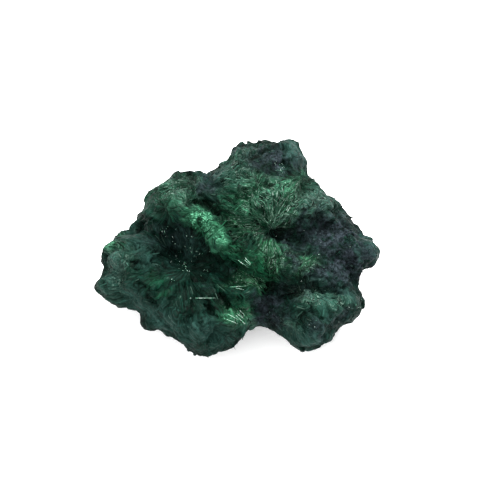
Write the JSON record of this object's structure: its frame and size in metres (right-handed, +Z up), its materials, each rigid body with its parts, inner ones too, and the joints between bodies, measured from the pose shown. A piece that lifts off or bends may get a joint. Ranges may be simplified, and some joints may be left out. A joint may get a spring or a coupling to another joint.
{
  "type": "malachite specimen",
  "caption": "Loose craggy clump of dark green fibrous malachite, with fans of fine needles spreading over its lobes, crests and hollows.",
  "frame": {"origin": "middle of the box's footprint, on the surface that the clump rests on", "axes": "+Z up; +X along the clump's longest extent, to the right of the face it is shown by; +Y away from the viewer of that face"},
  "size_m": [0.0572, 0.048, 0.0253],
  "materials": {
    "malachite": "silky"
  },
  "bodies": {
    "root": {"malachite": "malachite"}
  },
  "joints": []
}
